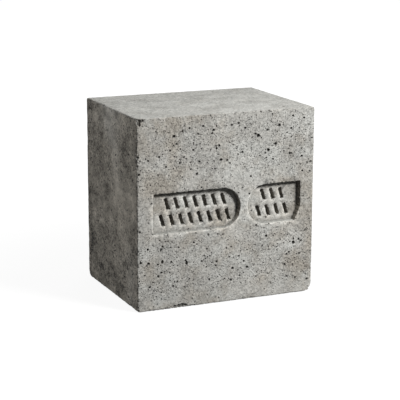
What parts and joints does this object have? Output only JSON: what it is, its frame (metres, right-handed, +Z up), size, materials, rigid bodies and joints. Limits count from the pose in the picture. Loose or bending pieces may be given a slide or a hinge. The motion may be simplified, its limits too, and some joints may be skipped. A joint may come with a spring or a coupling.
{
  "type": "cast concrete base block",
  "caption": "Solid block of cast concrete that stands on its bed and carries a post or column on its flat top, with sunk panels of plain strokes in its front face.",
  "frame": {"origin": "middle of the bed, at the level the block stands on", "axes": "+Z up, -Y out of the front face with the two sunk panels, +X to the right along the front face as seen from the front"},
  "size_m": [0.2, 0.15, 0.2],
  "materials": {
    "concrete": "as-struck cast concrete, warm light grey, matt, with fine sand grain, small air holes and faint patchy staining"
  },
  "bodies": {
    "root": {"concrete_block": "concrete"}
  },
  "joints": []
}
